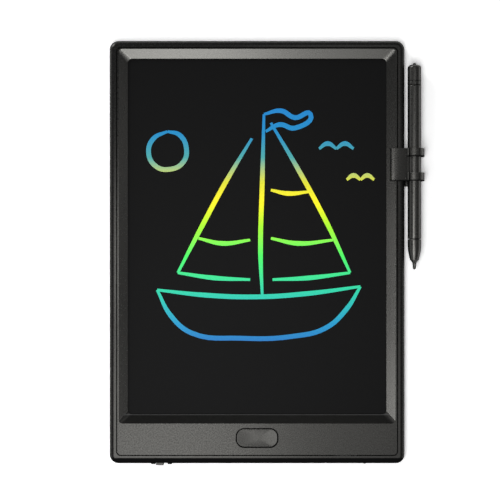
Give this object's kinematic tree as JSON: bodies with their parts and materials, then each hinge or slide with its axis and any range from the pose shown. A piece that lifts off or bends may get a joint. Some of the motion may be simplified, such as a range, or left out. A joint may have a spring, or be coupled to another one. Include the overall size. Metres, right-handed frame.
{
  "type": "lcd writing tablet",
  "caption": "Slim writing tablet with a dark film screen in a bevelled frame, an erase button and lock, a coin cell tray, and a stylus held in an edge clip.",
  "frame": {"origin": "middle of the flat back, on which the tablet lies", "axes": "+Z out of the writing side, +Y towards the top edge, +X towards the stylus side"},
  "size_m": [0.1825, 0.2461, 0.012],
  "materials": {
    "shell_plastic": "fine satin grain, moulded",
    "frame_plastic": "fine satin grain, moulded",
    "button_plastic": "satin",
    "screen_film": "anti-glare film, half gloss",
    "clear_film": "smooth film",
    "grey_board": "plain sheet",
    "black_foam": "foam tape",
    "green_laminate": "solder mask",
    "black_epoxy": "moulded epoxy",
    "cream_plastic": "moulded",
    "copper_wire": "enamelled wire",
    "plated_steel": "nickel plated",
    "amber_ribbon": "flexible laminate",
    "nib_plastic": "matt"
  },
  "bodies": {
    "tablet": {"rear_cover": "shell_plastic", "front_frame": "frame_plastic", "backing_board": "grey_board", "base_film": "clear_film", "writing_film": "screen_film", "film_gasket": "black_foam", "case_screw_left": "plated_steel", "case_screw_inner_left": "plated_steel", "case_screw_inner_right": "plated_steel", "case_screw_right": "plated_steel", "board_screw_left": "plated_steel", "board_screw_right": "plated_steel", "control_board": "green_laminate", "driver_chip": "black_epoxy", "boost_coil": "copper_wire", "capacitor": "cream_plastic", "ribbon_connector": "cream_plastic", "film_ribbon": "amber_ribbon", "tact_switch": "black_epoxy", "slide_switch": "plated_steel", "positive_contact": "plated_steel", "negative_contact": "plated_steel"},
    "erase_button": {"erase_button": "button_plastic", "switch_plunger": "cream_plastic"},
    "lock_slider": {"lock_knob": "shell_plastic", "switch_lever": "cream_plastic"},
    "battery_tray": {"battery_tray": "shell_plastic", "coin_cell": "plated_steel"},
    "pen_clip": {"pen_clip": "shell_plastic"},
    "stylus": {"stylus_barrel": "shell_plastic", "stylus_cap": "shell_plastic", "stylus_tip": "shell_plastic", "stylus_nib": "nib_plastic"}
  },
  "joints": [
    {"name": "erase_press", "type": "slide", "parent": "tablet", "child": "erase_button", "axis": [0, 0, -1], "range_m": [0, 0.0004], "stiffness_N_per_m": 500},
    {"name": "lock_slide", "type": "slide", "parent": "tablet", "child": "lock_slider", "axis": [1, 0, 0], "range_m": [0, 0.002]},
    {"name": "tray_slide", "type": "slide", "parent": "tablet", "child": "battery_tray", "axis": [0, -1, 0], "range_m": [0, 0.0236]},
    {"name": "clip_slide", "type": "slide", "parent": "tablet", "child": "pen_clip", "axis": [0, 1, 0], "range_m": [-0.125, 0.05]},
    {"name": "stylus_slide", "type": "slide", "parent": "pen_clip", "child": "stylus", "axis": [0, 1, 0], "range_m": [-0.04, 0.07]}
  ]
}
